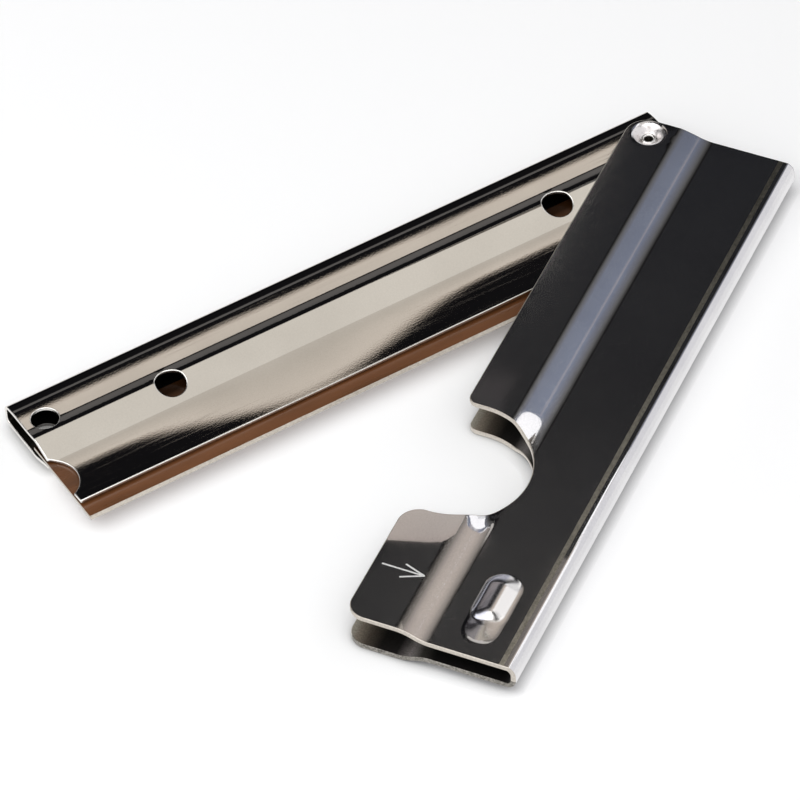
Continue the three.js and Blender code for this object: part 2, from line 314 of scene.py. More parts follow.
def arc_points(x, y, radius, start, end, steps=None):
    steps = steps or max(4, math.ceil(radius * math.radians(abs(end - start)) / EDGE_STEP))
    angles = np.radians(np.linspace(start, end, steps + 1))
    return [(x + radius * math.cos(a), y + radius * math.sin(a)) for a in angles]


def ring(x, y, radius, count=RING_POINTS):
    angles = np.arange(count) * 2 * math.pi / count
    return np.column_stack([x + radius * np.cos(angles), y + radius * np.sin(angles)])


def inside(points, loops):
    """Which points lie inside the first loop and outside the others, by counting crossings."""
    odd = np.zeros(len(points), bool)
    px, py = points[:, 0], points[:, 1]
    for loop in loops:
        a, b = loop, np.roll(loop, -1, axis=0)
        for (ax, ay), (bx, by) in zip(a, b):
            if ay != by:
                crosses = (ay > py) != (by > py)
                odd ^= crosses & (px < ax + (py - ay) * (bx - ax) / (by - ay))
    return odd


def distance_to_lines(points, starts, ends):
    """Distance from each point to the nearest of the given straight stretches."""
    nearest = np.full(len(points), np.inf)
    for a, b in zip(starts, ends):
        ab = b - a
        share = np.clip(((points - a) @ ab) / max(ab @ ab, TINY ** 2), 0, 1)
        nearest = np.minimum(nearest, np.linalg.norm(points - a - share[:, None] * ab, axis=1))
    return nearest


class Sheet:
    """A folded sheet whose outline and holes are given on the flat blank, by S along the fold and by Y."""

    def __init__(self, fold, thickness, rim_radius, loops, relief):
        self.fold = fold
        self.thickness = thickness
        self.rim_radius = rim_radius
        self.loops = [np.array(loop, float) for loop in loops]
        self.relief = relief
        self.extra = []
        self.lines = []
        self.keep_out = []
        self.engraved = None

    def sharpen(self, s, stretches):
        """Keeps the triangles from crossing a sharp line along the sheet."""
        self.lines += [subdivided([(s, start), (s, end)], LENGTH_STEP) for start, end in stretches]

    def lifts(self, s, y):
        """How far the outer and the inner face stand off the middle line."""
        x = np.interp(s, self.fold.s, self.fold.x)
        outer, inner = self.relief(x, y, s > self.fold.middle)
        return self.thickness / 2 + outer, -self.thickness / 2 + inner

    def face(self, s, y, which):
        """Points and normals of the outer (0) or the inner (1) face."""
        x, z, tx, tz = self.fold.at(s)
        lift = self.lifts(s, y)[which]
        h = SLOPE_STEP
        across = (self.lifts(s + h, y)[which] - self.lifts(s - h, y)[which]) / (2 * h)
        along = (self.lifts(s, y + h)[which] - self.lifts(s, y - h)[which]) / (2 * h)
        if self.engraved and which == 0:
            lift = lift - self.engraved(x, y, s > self.fold.middle)
        points = np.column_stack([x - tz * lift, y, z + tx * lift])
        normals = np.column_stack([-tz - across * tx, -along, tx - across * tz])
        normals /= np.linalg.norm(normals, axis=1)[:, None]
        return points, normals if which == 0 else -normals

    def blank(self):
        """The flat blank, cut into triangles."""
        starts = np.concatenate(self.loops)
        ends = np.concatenate([np.roll(loop, -1, axis=0) for loop in self.loops])
        low, high = starts[:, 1].min(), starts[:, 1].max()
        rows = np.linspace(low, high, math.ceil((high - low) / LENGTH_STEP) + 1)
        s, y = np.meshgrid(self.fold.s, rows)
        grid = np.column_stack([s.ravel(), y.ravel()])
        for covers in self.keep_out:
            grid = grid[~covers(grid)]
        points = np.concatenate([grid, *self.extra])
        points = points[inside(points, self.loops)]
        points = points[distance_to_lines(points, starts, ends) > CLEAR_OF_EDGE]
        vertices = [Vector(p) for p in np.concatenate([starts, points])]
        edges, first = [], 0
        for loop in self.loops:
            count = len(loop)
            edges += [(first + i, first + (i + 1) % count) for i in range(count)]
            first += count
        for line in self.lines:
            first = len(vertices)
            vertices += [Vector(p) for p in line]
            edges += [(first + i, first + i + 1) for i in range(len(line) - 1)]
        flat, _, faces, *_ = delaunay_2d_cdt(vertices, edges, [], 0, TINY)
        flat = np.array([tuple(v) for v in flat])
        faces = np.array([f for f in faces if len(f) == 3])
        faces = faces[inside(flat[faces].mean(axis=1), self.loops)]
        a, b, c = flat[faces[:, 0]], flat[faces[:, 1]], flat[faces[:, 2]]
        area = (b[:, 0] - a[:, 0]) * (c[:, 1] - a[:, 1]) - (b[:, 1] - a[:, 1]) * (c[:, 0] - a[:, 0])
        used, faces = np.unique(faces[area > NO_AREA], return_inverse=True)
        return flat[used], faces.reshape(-1, 3)

    def build(self, name, place, materials, rim_material, face_material=None):
        """The piece, with rounded rims; the two functions choose a material by a place on the blank."""
        flat, faces = self.blank()
        count = len(flat)
        s, y = flat.T
        outer, _ = self.face(s, y, 0)
        inner, _ = self.face(s, y, 1)
        edges = np.concatenate([faces[:, [0, 1]], faces[:, [1, 2]], faces[:, [2, 0]]])
        _, where, times = np.unique(np.sort(edges, axis=1), axis=0, return_index=True, return_counts=True)
        rim = edges[where[times == 1]]
        follows = dict(rim.tolist())
        before = {b: a for a, b in follows.items()}
        rim_points = sorted(follows)
        _, _, tx, tz = self.fold.at(s)
        out = np.zeros((count, 3))
        inset = flat.copy()
        for i in rim_points:
            step = flat[follows[i]] - flat[before[i]]
            step /= np.linalg.norm(step)
            out[i] = (step[1] * tx[i], -step[0], step[1] * tz[i])
            inset[i] -= self.rim_radius * np.array([step[1], -step[0]])
        outer_face, outer_normals = self.face(*inset.T, 0)
        inner_face, inner_normals = self.face(*inset.T, 1)
        through = outer - inner
        through /= np.linalg.norm(through, axis=1)[:, None]
        radius = self.rim_radius
        vertices, normals = [*outer_face, *inner_face], [*outer_normals, *inner_normals]
        profile = {}
        for i in rim_points:
            top, bottom = outer[i] - radius * through[i], inner[i] + radius * through[i]
            chain = [i]
            for centre, side in ((top, 1), (bottom, -1)):
                turns = np.linspace(0, math.pi / 2, RIM_STEPS + 1)
                for turn in turns[1:] if side > 0 else turns[:0:-1]:
                    normal = side * math.cos(turn) * through[i] + math.sin(turn) * out[i]
                    chain.append(len(vertices))
                    vertices.append(centre - radius * out[i] + radius * normal)
                    normals.append(normal)
            profile[i] = chain + [count + i]
        quads = [face.tolist() for face in faces] + [(face[::-1] + count).tolist() for face in faces]
        slots = [FLAT] * len(faces) + [INNER] * len(faces)
        if face_material:
            slots[:len(faces)] = face_material(flat[faces].mean(axis=1)).tolist()
        for a, b in rim.tolist():
            for k in range(len(profile[a]) - 1):
                quads.append((profile[b][k], profile[a][k], profile[a][k + 1], profile[b][k + 1]))
                slots.append(rim_material((flat[a] + flat[b]) / 2))
        return make_piece(name, vertices, quads, slots, place, materials, normals=normals)


def add_object(name, data):
    made = bpy.data.objects.new(name, data)
    bpy.context.scene.collection.objects.link(made)
    return made


def make_piece(name, vertices, faces, slots, place, materials, smooth=True, normals=None):
    """A mesh from points in a piece's own millimetres."""
    mesh = bpy.data.meshes.new(name)
    mesh.from_pydata([place @ Vector(v) for v in vertices], [], faces)
    for material in materials:
        mesh.materials.append(material)
    mesh.polygons.foreach_set("material_index", np.array(slots, np.int32))
    mesh.polygons.foreach_set("use_smooth", np.full(len(faces), smooth))
    mesh.update()
    if normals:
        turn = place.to_3x3().normalized()
        mesh.normals_split_custom_set_from_vertices([turn @ Vector(n) for n in normals])
    return add_object(name, mesh)


def smooth_share(share):
    """A share from 0 to 1, eased at both ends."""
    return share ** 2 * (3 - 2 * share)


def bent(past, turn):
    """How far a bend has moved past its start, where it turns to a slope of 1 over a given length."""
    return np.where(past < turn, past ** 2 / (2 * turn), past - turn / 2)


# Sheath

def sheath_fold():
    middle = SHEATH_SHEET / 2
    flare = FLARE_HALF - middle
    narrow = NARROW_HALF - middle
    radius = SHEATH_SPINE_RADIUS - middle
    turn_x = SHEATH_SPINE_X - SHEATH_SPINE_RADIUS
    turn_z = narrow - radius * math.cos(SHEATH_SPINE_START)
    start_x = turn_x + radius * math.sin(SHEATH_SPINE_START)
    start = 90 - math.degrees(SHEATH_SPINE_START)
    fold = Fold(SHEATH_EDGE_X, flare)
    fold.straight(SHEATH_RAMP[0][0], flare)
    fold.follow(SHEATH_RAMP, narrow)
    fold.straight(start_x - SPINE_SHARP, narrow)
    fold.straight(start_x, narrow)
    fold.arc(turn_x, turn_z, radius, start, 0)
    fold.straight(turn_x + radius, -turn_z)
    fold.arc(turn_x, -turn_z, radius, 0, -start)
    fold.straight(SHEATH_RAMP[-1][0], -narrow)
    fold.follow(SHEATH_RAMP[::-1], -flare)
    fold.straight(SHEATH_EDGE_X, -flare)
    return fold.finish()


def sheath_loop(fold):
    """The blank's outline; both halves share the open edge, which runs from its far to its near end."""
    left = SHEATH_EDGE_X
    tab_y = GRIP_Y - GRIP_RADIUS
    lobe_y = GRIP_Y + GRIP_RADIUS
    edge = [
        *arc_points(left + TAB_CORNER_RADIUS, SHEATH_FAR_Y + TAB_CORNER_RADIUS, TAB_CORNER_RADIUS, 270, 180),
        *arc_points(left + GRIP_TAB_RADIUS, tab_y - GRIP_TAB_RADIUS, GRIP_TAB_RADIUS, 180, 90)[:-1],
        *arc_points(GRIP_X, GRIP_Y, GRIP_RADIUS, -90, 90),
        *arc_points(left + GRIP_LOBE_RADIUS, lobe_y + GRIP_LOBE_RADIUS, GRIP_LOBE_RADIUS, 270, 180),
        *arc_points(left + PIVOT_CORNER_RADIUS, SHEATH_NEAR_Y - PIVOT_CORNER_RADIUS, PIVOT_CORNER_RADIUS,
                    180, 90),
    ]
    x, y = np.array(subdivided(edge, FLAT_STEP)).T
    front, back = fold.unfold(x, False), fold.unfold(x, True)
    far, near = (fold.s[(fold.s > front[k] + EDGE_STEP) & (fold.s < back[k] - EDGE_STEP)] for k in (0, -1))
    return [*[(s, SHEATH_FAR_Y) for s in far], *zip(back, y),
            *[(s, SHEATH_NEAR_Y) for s in near[::-1]], *zip(front[::-1], y[::-1])]


def dish_table():
    """Depth of the dimple's dish against the distance from its middle."""
    t = np.linspace(0, 1, DISH_TABLE_POINTS)
    foot, brow = DIMPLE_FLOOR_RADIUS + DIMPLE_FILLET, DIMPLE_RADIUS - DIMPLE_ROLL
    radii = (DIMPLE_FLOOR_RADIUS, foot, brow, DIMPLE_RADIUS)
    depths = (DIMPLE_SINK, DIMPLE_SINK, 0, 0)
    weights = ((1 - t) ** 3, 3 * (1 - t) ** 2 * t, 3 * (1 - t) * t ** 2, t ** 3)
    radius = sum(w * r for w, r in zip(weights, radii))
    depth = sum(w * d for w, d in zip(weights, depths))
    return radius, depth


DISH = dish_table()


def fallen(slopes):
    """Distances and heights of a side that falls from 1 to 0, from its distances and relative slopes."""
    distance = np.linspace(slopes[0][0], slopes[-1][0], FALL_TABLE_POINTS)
    slope = np.interp(distance, *np.array(slopes).T)
    fall = np.concatenate([[0], np.cumsum(slope[1:] + slope[:-1])])
    return distance, 1 - fall / fall[-1]


BUMP_LEFT_SIDE = fallen(BUMP_LEFT)
BUMP_RIGHT_SIDE = fallen(BUMP_RIGHT)
RAMP_FALL = fallen(SHEATH_RAMP)
TAB_FALL = fallen(TAB_RAMP)


def bump_height(x, y):
    """A ridge with a steep left wall and a long right wall, and with a low tail at its far end."""
    half = BUMP_WIDTH / 2
    across = x - BUMP_X
    along = y - BUMP_FAR_Y
    start, end = BUMP_TAIL + half, BUMP_LENGTH - half
    past = along - np.clip(along, start, end)
    out = np.hypot(across, past)
    right = (1 + across / np.maximum(out, NO_AREA)) / 2
    ridge = right * np.interp(out, *BUMP_RIGHT_SIDE) + (1 - right) * np.interp(out, *BUMP_LEFT_SIDE)
    ridge = BUMP_HEIGHT * ridge
    past_tail = along - np.clip(along, half, end)
    plan = np.clip(np.hypot(across, past_tail) / half, 0, 1)
    tail = BUMP_TAIL_HEIGHT * (1 - plan ** 2) ** 2 * np.clip(along / BUMP_TAIL, 0, 1)
    fade = np.clip((start + half - along) / half, 0, 1)
    tail = tail * smooth_share(fade)
    return (ridge + tail + np.hypot(ridge - tail, BUMP_BLEND) - BUMP_BLEND) / 2


def notch_roll(x, y):
    """How far the ends of the sheath's ramp are bent down beside the finger notch."""
    on_lobe = y > GRIP_Y
    off = x - np.where(on_lobe, LOBE_ROLL_X, TAB_ROLL_X)
    window = np.cos(math.pi / 2 * np.clip(off / ROLL_HALF, -1, 1)) ** 2
    bend = np.where(on_lobe, LOBE_ROLL_BEND, TAB_ROLL_BEND) * off ** 2
    past = np.where(on_lobe, LOBE_ROLL_Y - y, y - TAB_ROLL_Y)
    run = bent(np.maximum(past - bend, 0), ROLL_TURN)
    return window * run * np.where(on_lobe, LOBE_ROLL_SLOPE, TAB_ROLL_SLOPE)


def tab_ramp(x, y):
    """How much higher the ramp is on the tab, where it starts more gently."""
    share = np.clip((y - TAB_RAMP_Y[0]) / (TAB_RAMP_Y[1] - TAB_RAMP_Y[0]), 0, 1)
    higher = np.interp(x, *TAB_FALL) - np.interp(x, *RAMP_FALL)
    return (FLARE_HALF - NARROW_HALF) * higher * smooth_share(share)


def waves(x, y):
    """How far the waves stay below the plain sheet."""
    return sum(depth * (1 + np.sin(2 * math.pi * (y / along + x / across) + phase))
               for depth, along, across, phase in WAVES)


def sheath_relief(x, y, after_spine):
    radius = np.hypot(x, y)
    outer = -np.interp(radius, *DISH, left=DIMPLE_SINK, right=0)
    inner = -np.interp(radius, (BOSS_RADIUS - BOSS_WALL, BOSS_RADIUS), (BOSS_DEPTH, 0))
    bump = np.where(after_spine, 0, bump_height(x, y))
    sunk = waves(x, y) * np.clip(radius / DIMPLE_RADIUS - 1, 0, 1)
    shared = bump + tab_ramp(x, y) - notch_roll(x, y) - sunk
    return outer + shared, inner + shared


ARROW_STARTS = np.array([ARROW_TAIL, *ARROW_BARBS])
ARROW_ENDS = np.array([ARROW_TIP] * len(ARROW_STARTS))


def sheath_marks(x, y, after_spine):
    """Depth of the arrow and of the band beside the spine."""
    strokes = distance_to_lines(np.column_stack([x, y]), ARROW_STARTS, ARROW_ENDS)
    marks = ARROW_DEPTH * np.clip(1 - strokes / (ARROW_WIDTH / 2), 0, 1)
    marks = marks + CREASE_DEPTH * np.clip(1 - np.abs(x - CREASE_X) / (CREASE_WIDTH / 2), 0, 1)
    return np.where(after_spine, 0, marks)


def make_sheath(materials):
    fold = sheath_fold()
    rivet_hole = ring(0, 0, RIVET_HOLE_RADIUS, RIVET_HOLE_POINTS)
    holes = [fold.flat(rivet_hole, back) for back in (False, True)]
    sheet = Sheet(fold, SHEATH_SHEET, SHEATH_RIM, [sheath_loop(fold), *holes], sheath_relief)
    sheet.engraved = sheath_marks

    pivots = [float(fold.unfold(0, back)) for back in (False, True)]
    radii = [*np.linspace(DIMPLE_FLOOR_RADIUS, DIMPLE_RADIUS, DISH_RINGS),
             *(DIMPLE_RADIUS + margin for margin in DISH_MARGINS)]
    sheet.extra += [ring(s, 0, radius) for s in pivots for radius in radii]

    def from_pivots(points):
        return np.min([np.hypot(points[:, 0] - s, points[:, 1]) for s in pivots], axis=0)

    bump_s = float(fold.unfold(BUMP_X, False))
    bump_half = BUMP_WIDTH / 2 + BUMP_MARGIN
    across = np.linspace(-bump_half, bump_half, BUMP_GRID[0])
    along = np.linspace(-BUMP_MARGIN, BUMP_LENGTH + BUMP_MARGIN, BUMP_GRID[1])
    across, along = np.meshgrid(across, along)
    sheet.extra.append(np.column_stack([bump_s + across.ravel(), BUMP_FAR_Y + along.ravel()]))

    def by_bump(points):
        off = np.abs(points - (bump_s, BUMP_FAR_Y + BUMP_LENGTH / 2))
        reach = (bump_half + BUMP_CLEAR, BUMP_LENGTH / 2 + BUMP_MARGIN + BUMP_CLEAR)
        return np.all(off < reach, axis=1)

    starts, ends = fold.flat(ARROW_STARTS), fold.flat(ARROW_ENDS)
    for a, b in zip(starts, ends):
        heading = (b - a) / np.linalg.norm(b - a)
        side = np.array([-heading[1], heading[0]]) * ARROW_WIDTH / 2
        for shift in (-side, 0 * side, side):
            sheet.lines.append(subdivided([tuple(a + shift), tuple(b + shift)], EDGE_STEP))

    crease_s = float(fold.unfold(CREASE_X, False))
    crease_half = CREASE_WIDTH / 2
    spine_s = fold.s[(fold.s < fold.middle) & (fold.x > SHEATH_SPINE_X - SHEATH_SPINE_RADIUS)]
    for line_s in (crease_s - crease_half, crease_s, crease_s + crease_half, *spine_s[:SPINE_LINES]):
        sheet.sharpen(line_s, [(SHEATH_FAR_Y + CLEAR_OF_EDGE, SHEATH_NEAR_Y - CLEAR_OF_EDGE)])

    sheet.keep_out += [
        lambda points: from_pivots(points) < radii[-1],
        by_bump,
        lambda points: distance_to_lines(points, starts, ends) < ARROW_CLEAR,
        lambda points: np.abs(points[:, 0] - crease_s) < crease_half + CREASE_CLEAR,
    ]

    def face_material(centres):
        marked = distance_to_lines(centres, starts, ends) < ARROW_WIDTH / 2
        creased = np.abs(centres[:, 0] - crease_s) < crease_half
        dished = from_pivots(centres) < DISH_SATIN_RADIUS
        pressed = bump_height(centres[:, 0] - bump_s + BUMP_X, centres[:, 1]) > BUMP_FOOT
        pressed &= centres[:, 0] < fold.middle
        return np.select([marked, creased, dished, pressed], [MARK, CREASE, DISHED, PRESSED], FLAT)

    def rim_material(middle):
        # Painted shade: the near end's cut edge is near black, and the back sheet's cut edge at the far end
        # is a darker copy of the others
        if middle[1] > SHEATH_NEAR_Y - END_SLACK:
            return SHADED_CUT
        return BACK_SHADED_CUT if middle[0] > fold.middle and middle[1] < SHEATH_FAR_Y + END_REACH else CUT

    return sheet.build("sheath_shell", HANDLE_PLACE, materials, rim_material, face_material)


# Blade holder

def holder_fold():
    middle = HOLDER_SHEET / 2
    wide = HOLDER_HALF - middle
    pinch = PINCH_HALF - middle
    lip = LIP_HALF - middle
    radius = HOLDER_SPINE_RADIUS - middle
    turn_x = HOLDER_SPINE_X + HOLDER_SPINE_RADIUS
    turn_z = wide - radius
    fold = Fold(BACK_LIP_X, -lip)
    fold.straight(LIP_X, -pinch)
    fold.straight(PINCH_X, -pinch)
    fold.follow(((PINCH_X, 0), (PINCH_X - PINCH_EASE, 1), (BEND_X + PINCH_EASE, 1),
                 (BEND_X, 0)), -wide, EASE_STEPS)
    fold.straight(turn_x, -wide)
    fold.arc(turn_x, -turn_z, radius, 270, 180)
    shoulder_x = turn_x - radius * math.sin(SHOULDER_TILT)
    shoulder_drop = math.tan(SHOULDER_TILT) * (SHOULDER_X - shoulder_x) / 2
    front_turn_z = wide - shoulder_drop - radius * math.cos(SHOULDER_TILT)
    fold.straight(turn_x - radius, front_turn_z)
    fold.arc(turn_x, front_turn_z, radius, 180, 90 + math.degrees(SHOULDER_TILT))
    fold.follow(((shoulder_x, 1), (SHOULDER_X, 0)), wide, BOW_STEPS)
    fold.straight(SWELL[0][0], wide)
    fold.follow(SWELL, wide + SWELL_RISE)
    fold.follow(HOLDER_SLOPE, pinch)
    lip_start = HOLDER_CREASE_X + HOLDER_SHARP
    fold.straight(lip_start, pinch)
    fold.follow(((lip_start, 0), (FRONT_LIP_X, 1)), lip, BOW_STEPS)
    return fold.finish()


def notch_depth(x):
    """How far the thumb notch cuts into the holder's end at X."""
    chord = np.sqrt(np.maximum(THUMB_NOTCH_RADIUS ** 2 - (x - THUMB_NOTCH_X) ** 2, 0))
    return np.maximum(chord - (THUMB_NOTCH_RADIUS - THUMB_NOTCH_DEPTH), 0)


def holder_loop(fold):
    """The blank's outline, with a thumb notch across both lips at each end."""
    reach = math.sqrt(THUMB_NOTCH_RADIUS ** 2 - (THUMB_NOTCH_RADIUS - THUMB_NOTCH_DEPTH) ** 2)
    angles = np.linspace(-1, 1, NOTCH_POINTS) * math.asin(reach / THUMB_NOTCH_RADIUS)
    notch_x = THUMB_NOTCH_X + THUMB_NOTCH_RADIUS * np.sin(angles)
    cut = np.concatenate([fold.unfold(notch_x[notch_x < lip_x], after_spine)
                          for lip_x, after_spine in ((BACK_LIP_X, False), (FRONT_LIP_X, True))])
    plain = [s for s, x in zip(fold.s, fold.x)
             if np.min(np.abs(cut - s)) > EDGE_STEP and notch_depth(x) == 0]
    ends = np.array(sorted({0.0, float(fold.s[-1]), *map(float, cut), *map(float, plain)}))
    depth = notch_depth(np.interp(ends, fold.s, fold.x))
    sides = np.linspace(HOLDER_FAR_Y, HOLDER_NEAR_Y, math.ceil(BLADE_LENGTH / FLAT_STEP) + 1)[1:-1]
    far = list(zip(ends, HOLDER_FAR_Y + depth))
    near = list(zip(ends, HOLDER_NEAR_Y - depth))
    back_lip = [(0.0, y) for y in sides if far[0][1] < y - EDGE_STEP and y + EDGE_STEP < near[0][1]]
    front_lip = [(float(fold.s[-1]), y) for y in sides]
    return [*far, *front_lip, *near[::-1], *back_lip[::-1]]


def holder_relief(x, y, after_spine):
    """The front lip stands up a little more towards both ends than in the middle."""
    off = y - LIP_LEVEL_Y
    share = np.clip(np.maximum(off / LIP_NEAR_REACH, -off / LIP_FAR_REACH), 0, 1)
    tilt = LIP_TILT * smooth_share(share)
    rise = tilt * bent(np.maximum(x - HOLDER_CREASE_X, 0), LIP_TURN)
    lift = np.where(after_spine, rise, 0)
    return lift, lift


def clear_stretches(x, holes):
    """Where a line along the holder at X stays clear of its ends and its holes."""
    end = notch_depth(x) + CLEAR_OF_EDGE
    breaks = [HOLDER_FAR_Y + end]
    for hole_x, hole_y, radius in sorted(holes, key=lambda hole: hole[1]):
        reach = (radius + CLEAR_OF_EDGE) ** 2 - (x - hole_x) ** 2
        if reach > 0:
            breaks += [hole_y - math.sqrt(reach), hole_y + math.sqrt(reach)]
    breaks.append(HOLDER_NEAR_Y - end)
    return list(zip(breaks[::2], breaks[1::2]))


def make_holder(materials):
    fold = holder_fold()
    holes, front_holes = [], []
    for end_y, inwards in ((HOLDER_NEAR_Y, -1), (HOLDER_FAR_Y, 1)):
        pivot = (0, end_y + inwards * PIVOT_FROM_END, PIVOT_HOLE_RADIUS)
        view = (VIEW_HOLE_X, end_y + inwards * VIEW_HOLE_FROM_END, VIEW_HOLE_RADIUS)
        front_holes += [pivot, view]
        pivot_ring = ring(*pivot, PIVOT_HOLE_POINTS)
        holes += [fold.flat(pivot_ring), fold.flat(pivot_ring, True), fold.flat(ring(*view), True)]
    sheet = Sheet(fold, HOLDER_SHEET, HOLDER_RIM, [holder_loop(fold), *holes], holder_relief)
    front = fold.s > fold.middle
    for sharp_x in (CREST_X, HOLDER_CREASE_X):
        for k in np.flatnonzero(front & (np.abs(fold.x - sharp_x) < SHARP_REACH)):
            sheet.sharpen(float(fold.s[k]), clear_stretches(float(fold.x[k]), front_holes))

    def rim_material(middle):
        # Painted shade: the rims of the back sheet's pivot holes, seen through the front sheet, are near
        # black
        in_hole = middle[0] < fold.middle and fold.at(middle[0])[0] < BEND_X
        in_hole = in_hole and HOLDER_FAR_Y + END_REACH < middle[1] < HOLDER_NEAR_Y - END_REACH
        return SHADED_CUT if in_hole else CUT

    return sheet.build("holder_shell", SWING_PLACE, materials, rim_material)


# Blade and rivet

def swept(rows, closed):
    """Quads between rows of points round a profile, and the number of the profile's side under each."""
    count = len(rows[0])
    faces, sides = [], []
    for k in range(len(rows) if closed else len(rows) - 1):
        here, beside = k * count, (k + 1) % len(rows) * count
        for side in range(count):
            ahead = (side + 1) % count
            faces.append((here + ahead, beside + ahead, beside + side, here + side))
            sides.append(side)
    return faces, sides


def make_blade(materials):
    back_x = BLADE_EDGE_X - BLADE_WIDTH
    upper = [(back_x, BLADE_HALF - BLADE_SOFT), (back_x + BLADE_SOFT, BLADE_HALF),
             (BLADE_EDGE_X - BEVEL_WIDTH, BLADE_HALF), (BLADE_EDGE_X, EDGE_LAND / 2)]
    section = [*upper, *[(x, -z) for x, z in upper[::-1]]]
    rows = [[(x, y, z) for x, z in section] for y in np.linspace(HOLDER_FAR_Y, HOLDER_NEAR_Y, BLADE_ROWS)]
    faces, sides = swept(rows, closed=False)
    edge = {k for k, (x, _) in enumerate(section) if x == BLADE_EDGE_X}
    slots = [GROUND if {side, side + 1} & edge else LACQUERED for side in sides]
    vertices = sum(rows, [])
    points = tuple(range(len(vertices)))
    faces += [points[:len(section)][::-1], points[-len(section):]]
    slots += [GROUND, GROUND]
    return make_piece("blade_strip", vertices, faces, slots, SWING_PLACE, materials, smooth=False)


def make_rivet(materials):
    roll = (RIVET_HEAD_RADIUS - RIVET_BORE_RADIUS) / 2
    upper = [(RIVET_RADIUS, RIVET_SEAT)]
    for turn in np.linspace(0, math.pi, HEAD_STEPS + 1):
        upper.append((RIVET_BORE_RADIUS + roll * (1 + math.cos(turn)),
                      RIVET_SEAT + RIVET_HEAD_HEIGHT * math.sin(turn)))
    profile = [*upper[::-1], *[(r, -z) for r, z in upper]]
    rows = [[(r * x, r * y, z) for r, z in profile] for x, y in ring(0, 0, 1)]
    faces, sides = swept(rows, closed=True)
    # The last side of the profile, inside the tube, takes the bore's painted shade
    slots = [BORE if side == len(profile) - 1 else ROLLED for side in sides]
    return make_piece("rivet_tube", sum(rows, []), faces, slots, HANDLE_PLACE, materials)


# Materials

GRAIN_SCALE = 4500
CLOUD_SCALE = 90
EDGE_SCALE = 4000
SATIN_SCALE = 2500
# Ranges of a noise that tones and roughness spread over
GRAIN_SPREAD = (0.3, 0.7)
SPECKLE_SPREAD = (0.32, 0.68)
CLOUD_SPREAD = (0.35, 0.65)
MARK_SPREAD = (0.5, 0.74)
WHOLE = (0, 1)
# Lacquer: its streaks, and its painted shade and lower gloss from the blade's back inside the holder to where
# it is unshaded
LACQUER_SCALE = 350
LACQUER_STRETCH = (1, 7, 1)
LACQUER_DARK = (0.092, 0.034, 0.011)
LACQUER_LIGHT = (0.155, 0.058, 0.02)
LACQUER_ROUGHNESS = (0.2, 0.36)
LACQUER_SHADE = (0.12, 1.0)
LACQUER_GLOSS = (0.06, 0.5)
LACQUER_COAT = (0.0, 0.3)
# Where the painted light and shade on the sheath's inner face end
INNER_PAINTED_LIGHT_X = 9
WHITE = (1, 1, 1, 1)


class Nodes:
    """Short names for building the nodes of a material or of the world."""

    def __init__(self, owner):
        owner.use_nodes = True
        self.owner = owner
        self.tree = owner.node_tree
        self.shader = self.tree.nodes.get("Principled BSDF")

    def put(self, socket, value):
        """Sets an input, or links another node's output to it."""
        if isinstance(value, bpy.types.NodeSocket):
            self.tree.links.new(value, socket)
        else:
            socket.default_value = value

    def add(self, kind, *inputs, **values):
        """A new node, with settings and inputs by name, or with its first inputs in their order."""
        node = self.tree.nodes.new(kind)
        for key, value in values.items():
            if hasattr(node, key):
                setattr(node, key, value)
            else:
                self.put(node.inputs[key.replace("_", " ")], value)
        for socket, value in zip(node.inputs, inputs):
            self.put(socket, value)
        return node

    def feed(self, **inputs):
        """Sets or links the shader's inputs, and gives back the material."""
        for key, value in inputs.items():
            self.put(self.shader.inputs[key.replace("_", " ")], value)
        return self.owner

    def show(self, shader):
        """Makes a shader the material's surface, and gives back the material."""
        self.put(self.tree.nodes["Material Output"].inputs["Surface"], shader)
        return self.owner

    def coordinates(self, angle=0.0, stretch=(1, 1, 1)):
        """Coordinates in metres from the pivot that ride with the piece, turned about Z and stretched."""
        place = self.add("ShaderNodeTexCoord").outputs["Object"]
        mapping = self.add("ShaderNodeMapping", vector_type="TEXTURE", Vector=place, Location=PIVOT,
                           Rotation=(0, 0, angle), Scale=stretch)
        return mapping.outputs["Vector"]

    def noise(self, vector, scale, detail):
        return self.add("ShaderNodeTexNoise", Vector=vector, Scale=scale, Detail=detail).outputs["Fac"]

    def ramp(self, factor, *stops):
        node = self.add("ShaderNodeValToRGB", factor)
        elements = node.color_ramp.elements
        while len(elements) < len(stops):
            elements.new(0.5)
        for element, (position, colour) in zip(elements, stops):
            element.position = position
            element.color = (*colour, 1)
        return node.outputs["Color"]

    def tint(self, noise, dark, light, spread=GRAIN_SPREAD):
        return self.ramp(noise, (spread[0], dark), (spread[1], light))

    def span(self, factor, low, high, spread=GRAIN_SPREAD):
        """A value from LOW to HIGH while the factor goes through a spread."""
        return self.add("ShaderNodeMapRange", factor, *spread, low, high).outputs["Result"]

    def along(self, axis, low, high, angle=0.0):
        """The share of the way from LOW to HIGH, in millimetres from the pivot, on an axis turned about Z."""
        split = self.add("ShaderNodeSeparateXYZ", self.coordinates(angle))
        return self.span(split.outputs[axis], *WHOLE, (MM * low, MM * high))

    def product(self, first, second):
        return self.add("ShaderNodeVectorMath", first, second, operation="MULTIPLY").outputs["Vector"]

    def combine(self, operation, first, second):
        return self.add("ShaderNodeMath", first, second, operation=operation).outputs["Value"]

    def speckle(self, grain, low):
        """Tones from LOW to full with a grain."""
        return self.tint(grain, (low, low, low), WHITE[:3], SPECKLE_SPREAD)

    def bump(self, height, distance):
        return self.add("ShaderNodeBump", Height=height, Distance=distance).outputs["Normal"]

    def emission(self, colour=WHITE, strength=1.0):
        return self.add("ShaderNodeEmission", colour, strength).outputs["Emission"]

    def mix(self, factor, first, second):
        return self.add("ShaderNodeMixShader", factor, first, second).outputs["Shader"]


def new_material(name):
    return Nodes(bpy.data.materials.new(name))


